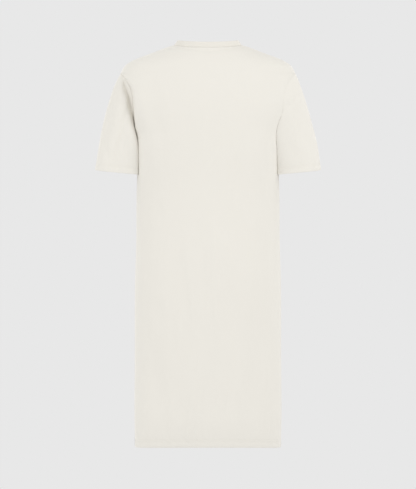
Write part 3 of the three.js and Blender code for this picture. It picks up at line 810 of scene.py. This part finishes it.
edgeSteps = np.array(panel["edgeSteps"])
acrossInner = np.linspace(-1 + edgeSteps[-1], 1 - edgeSteps[-1], panel["columns"] - 2 * len(edgeSteps) + 3)
acrossAll = np.concatenate([-1 + edgeSteps, acrossInner[1:-1], 1 - edgeSteps[::-1]])
hemLength = dress["underarm"] - dress["hem"]
hemHeights = np.array(panel["hemHeights"])
shoulderInner = np.linspace(panel["shoulderFrom"], 1, panel["rows"]["shoulder"])
armholeShare = np.linspace(0, 1, panel["rows"]["armhole"] + 1)[1:]
armholeStations = 1 + armholeShare + panel["armholeSpread"] * np.sin(2 * np.pi * armholeShare)
skirtStations = np.linspace(2, 3 - hemHeights[0] / hemLength, panel["rows"]["skirt"])[1:]
hemStations = 3 - hemHeights[1:] / hemLength
stations = np.concatenate([panel["neckSteps"], shoulderInner, armholeStations, skirtStations, hemStations])


def makePanel(name, face):
    # the panel's skin moved along its normals by the relief, then walls, hem and stitches.
    # The numbers beside face keep the front's ripples from being the back's.
    across, station = np.meshgrid(acrossAll, stations)
    skin = panelSkin(face, across, station)
    normals = gridNormals(skin, face, False)
    gone = runLength(skin, 1)
    fromSide = np.minimum(gone, gone[:, -1:] - gone)
    down = runLength(skin, 0)
    height = (3 - station) * hemLength
    sideAlong = np.broadcast_to(down[:, :1], down.shape)
    relief = seamRelief(fromSide, sideAlong + face * 9, 0.4 * face)
    relief = relief + panel["topSeam"] * seamRelief(down, gone, 1.3 + face)
    relief = relief + hemRelief(height, gone + 50 * face, panel["stitchHeights"])
    if face < 0:  # the line of stitches that holds the tape behind the neck seam
        deep, wide = panel["neckGroove"]
        relief = relief - deep * (1 - across ** 4) * np.exp(-((down - panel["neckStitch"]) / wide) ** 2)
    skin = skin + normals * relief[..., None]
    normals = gridNormals(skin, face, False)
    paths = turnedEdge(cloth["hemTurnUp"])
    outer, inner = wallSkins(skin, normals, wallAt(np.minimum(fromSide, down)), hemHeights, paths)
    # the flat cloth: across by the distance round from the centre, along by the distance down the centre
    sideways = runLength(outer, 1, flat=True)
    centreColumn = len(acrossAll) // 2
    sideways -= sideways[:, centreColumn][:, None]
    centre = skin[:, centreColumn]
    fall = runLength(centre[:, None], 0)[:, 0]
    order = np.argsort(centre[:, 2])
    top, rate = panel["flatTop"], panel["flatRate"]
    zs = np.concatenate([centre[order, 2], [top]])
    falls = np.concatenate([fall[order], [-(top - centre[0, 2]) * rate]])
    drop = np.interp(outer[..., 2], zs, falls)
    inward = paths[0][1]
    turned = np.concatenate([np.zeros(len(outer) - len(inward)), inward * rate])[:, None]
    flat = np.stack([sideways, drop + turned], axis=-1) * mm
    piece = wallMesh(name, outer, inner, flat, face, False, jersey)
    lines = panel["stitchHeights"]
    rows = list(zip(hemRows(skin, hemHeights, lines)[:, 1:-1], hemRows(normals, hemHeights, lines)[:, 1:-1]))
    if face < 0:
        columns = np.arange(2, len(acrossAll) - 2)
        level = np.abs(down[:panel["neckRows"], columns] - panel["neckStitch"]).argmin(axis=0)
        rows.append((skin[level, columns], normals[level, columns]))
    stitches = threads(name + "_stitches", rows, thread)
    print(name, "made,", len(piece.data.polygons) * 2, "triangles")
    width, _, area = cutSize(outer, False)
    return piece, stitches, (width, (np.ptp(drop) + cloth["hemTurnUp"]) * mm, area)


back, backStitches, backCut = makePanel("back_cloth", -1)
front, frontStitches, frontCut = makePanel("front_cloth", 1)

sleeveMake = {
    "slack": 1.04,  # length of the cloth over the straight way
    "capSteps": [0, 0.006, 0.013, 0.024, 0.038],  # shares of the way down, beside the armhole
    "rowsFrom": 0.055,
    "rows": 46,
    "hemHeights": [24, 22, 20.6, 19, 17, 15.4, 14, 12.6, 11, 9.4, 7, 4.5, 2.6, 1.1, 0.5, 0],
    "stitchHeights": (14.0, 19.0),
}


def makeSleeve(name, side):
    # the sleeve's skin moved along its normals by the relief, then walls, cuff and stitches.
    # The numbers beside side keep one sleeve's ripples from being the other's.
    halfTurn = np.concatenate([[1], armholeStations]) - 1
    angles = np.concatenate([halfTurn, (2 - halfTurn[1:-1][::-1])]) * np.pi
    # the armhole's own stations, with one more between each two
    between = (angles + np.concatenate([angles[1:], [2 * np.pi]])) / 2
    angles = np.stack([angles, between], axis=1).ravel()
    ring = panelSkin(-1, np.full_like(angles, side), 1 + np.minimum(angles, 2 * np.pi - angles) / np.pi)
    length = np.linalg.norm(cuffPoint(side, angles) - ring, axis=-1) * sleeveMake["slack"]
    heights = np.array(sleeveMake["hemHeights"])
    lowerShare = np.linspace(sleeveMake["rowsFrom"], 1, sleeveMake["rows"])
    share = np.concatenate([sleeveMake["capSteps"], lowerShare])
    upper = share[:, None] * (1 - heights[0] / length)[None, :]
    lower = 1 - heights[1:, None] / length[None, :]
    down = np.concatenate([upper, lower])
    skin = sleeveSkin(side, np.broadcast_to(angles, down.shape).copy(), down)
    normals = gridNormals(skin, side, True)
    gone = runLength(closeRing(skin), 1)[:, :-1]
    fall = runLength(skin, 0)
    height = (1 - down) * length[None, :]
    relief = seamRelief(fall, gone, 2.0 + side)
    relief = relief + hemRelief(height, gone + 30 * side, sleeveMake["stitchHeights"])
    skin = skin + normals * relief[..., None]
    normals = gridNormals(skin, side, True)
    outer, inner = wallSkins(skin, normals, wallAt(fall), heights, turnedEdge(cloth["cuffTurnUp"]))
    flat = np.stack([runLength(closeRing(outer), 1), closeRing(runLength(outer, 0))], axis=-1) * mm
    piece = wallMesh(name, outer, inner, flat, side, True, jersey)
    lines = sleeveMake["stitchHeights"]
    rows = zip(closeRing(hemRows(skin, heights, lines)), closeRing(hemRows(normals, heights, lines)))
    stitches = threads(name + "_stitches", rows, thread)
    print(name, "made,", len(piece.data.polygons) * 2, "triangles")
    return piece, stitches, cutSize(outer, True)


left, leftStitches, leftCut = makeSleeve("sleeve_left_cloth", -1)
right, rightStitches, rightCut = makeSleeve("sleeve_right_cloth", 1)


def makeBand():
    # the band's skin, back and front in one ring, carried up outside, round the fold and down inside
    across = np.linspace(-1, 1, band["columns"])
    ups = np.linspace(0, 1, band["skinRows"])
    halves = [bandSkin(-1, *np.meshgrid(across, ups)), bandSkin(1, *np.meshgrid(across[::-1][1:-1], ups))]
    skin = np.concatenate(halves, axis=1)
    normals = gridNormals(skin, 1, True)
    keys = ups * band["width"]
    r = band["radius"]
    theta = np.linspace(0, np.pi, band["foldSteps"])
    top = band["width"] - r
    straight = np.linspace(0, top, band["sideRows"])
    height = np.concatenate([straight[:-1], top + r * np.sin(theta), straight[::-1][1:]])
    outside = np.zeros(len(straight) - 1)
    inward = np.concatenate([outside, r - r * np.cos(theta), outside + 2 * r])
    tube = rowsAt(skin, keys, height) - rowsAt(normals, keys, height) * inward[:, None, None]
    rows, columns = tube.shape[:2]
    gone = np.broadcast_to(runLength(closeRing(tube[:1]), 1), (rows, columns + 1))
    along = np.broadcast_to(runLength(tube, 0)[:, :1], gone.shape)
    flat = np.stack([gone, along], axis=-1) * mm
    flat = np.concatenate([flat, flat[-1:] + (0, 2 * r * mm)])
    j, i = (index.ravel() for index in np.meshgrid(np.arange(rows), np.arange(columns), indexing="ij"))
    quad = [(j, i), (j, i + 1), (j + 1, i + 1), (j + 1, i)]
    vertex = np.stack([(a % rows) * columns + b % columns for a, b in quad], axis=1)
    place = np.stack([flat[a, b] for a, b in quad], axis=1)
    piece = addMesh("neckband_cloth", tube.reshape(-1, 3), vertex, place, ribbing)
    print("neckband made,", len(piece.data.polygons) * 2, "triangles")
    return piece, cutSize(skin, True)


neck, neckCut = makeBand()

for piece, stitches, cut, node, slotName, held in (
    (back, backStitches, backCut, "back_panel", "jersey", "draped"),
    (front, frontStitches, frontCut, "front_panel", "jersey", "draped"),
    (left, leftStitches, leftCut, "sleeve_left", "jersey", "draped"),
    (right, rightStitches, rightCut, "sleeve_right", "jersey", "draped"),
    (neck, None, neckCut, "neckband", "rib", "folded"),
):
    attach(piece, "root")
    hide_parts(node)
    if stitches:
        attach(stitches, "root")

backdrop = {"size": 60.0, "z": -2.6, "grey": 0.807}  # metres, and the same grey for floor and world


def makeFloor():
    # one square that gives its own even light
    shader = Shader("pale_floor")
    grey = backdrop["grey"]
    material = shader.finish({
        "Base Color": (0, 0, 0, 1), "Roughness": 1.0, "Specular IOR Level": 0.0,
        "Emission Color": (grey, grey, grey, 1), "Emission Strength": 1.0})
    half = backdrop["size"] / 2 / mm
    z = backdrop["z"] / mm
    corners = np.array([(-half, -half, z), (half, -half, z), (half, half, z), (-half, half, z)])
    place = np.array([[(0, 0), (1, 0), (1, 1), (0, 1)]])
    floor = addMesh("floor", corners, np.array([[0, 1, 2, 3]]), place, material)


def makeWorld():
    # the same grey from everywhere
    world = bpy.data.worlds.new("studio")
    world.use_nodes = True
    background = world.node_tree.nodes["Background"]
    grey = backdrop["grey"]
    background.inputs["Color"].default_value = (grey, grey, grey, 1)
    background.inputs["Strength"].default_value = 1.0
    scene.world = world


lights = {
    # name: place, aimed at, size, watts
    "key": ((3.2, -2.9, 0.9), (0, 0, -0.45), 1.8, 50),
    "fill": ((-5.2, -3.0, 0.5), (0, 0, -0.45), 2.4, 72),
    "rear": ((-2.6, 4.6, 1.4), (0, 0, -0.5), 2.2, 50),
    "rearFill": ((2.8, 4.8, 1.2), (0, 0, -0.5), 2.2, 44),
}


def aim(thing, place, target):
    # its -Z axis towards the target, its Y axis up
    forward = unit(np.array(target, float) - np.array(place, float))
    side = unit(np.cross(forward, (0, 0, 1)))
    up = np.cross(side, forward)
    matrix = np.eye(4)
    matrix[:3, 0], matrix[:3, 1], matrix[:3, 2], matrix[:3, 3] = side, up, -forward, place
    thing.matrix_world = matrix.T.tolist()


def makeLights():
    # square soft boxes
    for name, (place, target, size, watts) in lights.items():
        data = bpy.data.lights.new(name, "AREA")
        data.shape, data.size, data.energy = "SQUARE", size, watts
        lamp = bpy.data.objects.new(name, data)
        scene.collection.objects.link(lamp)
        aim(lamp, place, target)


shot = {"distance": 8.0, "height": -0.54725, "lens": 214.18, "sensor": 36.0, "clipEnd": 100}


def makeCamera():
    # level, square to the back of the dress
    data = bpy.data.cameras.new("camera")
    data.lens, data.sensor_width = shot["lens"], shot["sensor"]
    data.clip_end = shot["clipEnd"]
    camera = bpy.data.objects.new("camera", data)
    scene.collection.objects.link(camera)
    camera.location = (0, -shot["distance"], shot["height"])
    camera.rotation_euler = (math.pi / 2, 0, 0)
    scene.camera = camera


makeFloor()
makeWorld()
makeLights()
makeCamera()
scene.view_settings.view_transform = "Standard"
print("floor, light and camera made")
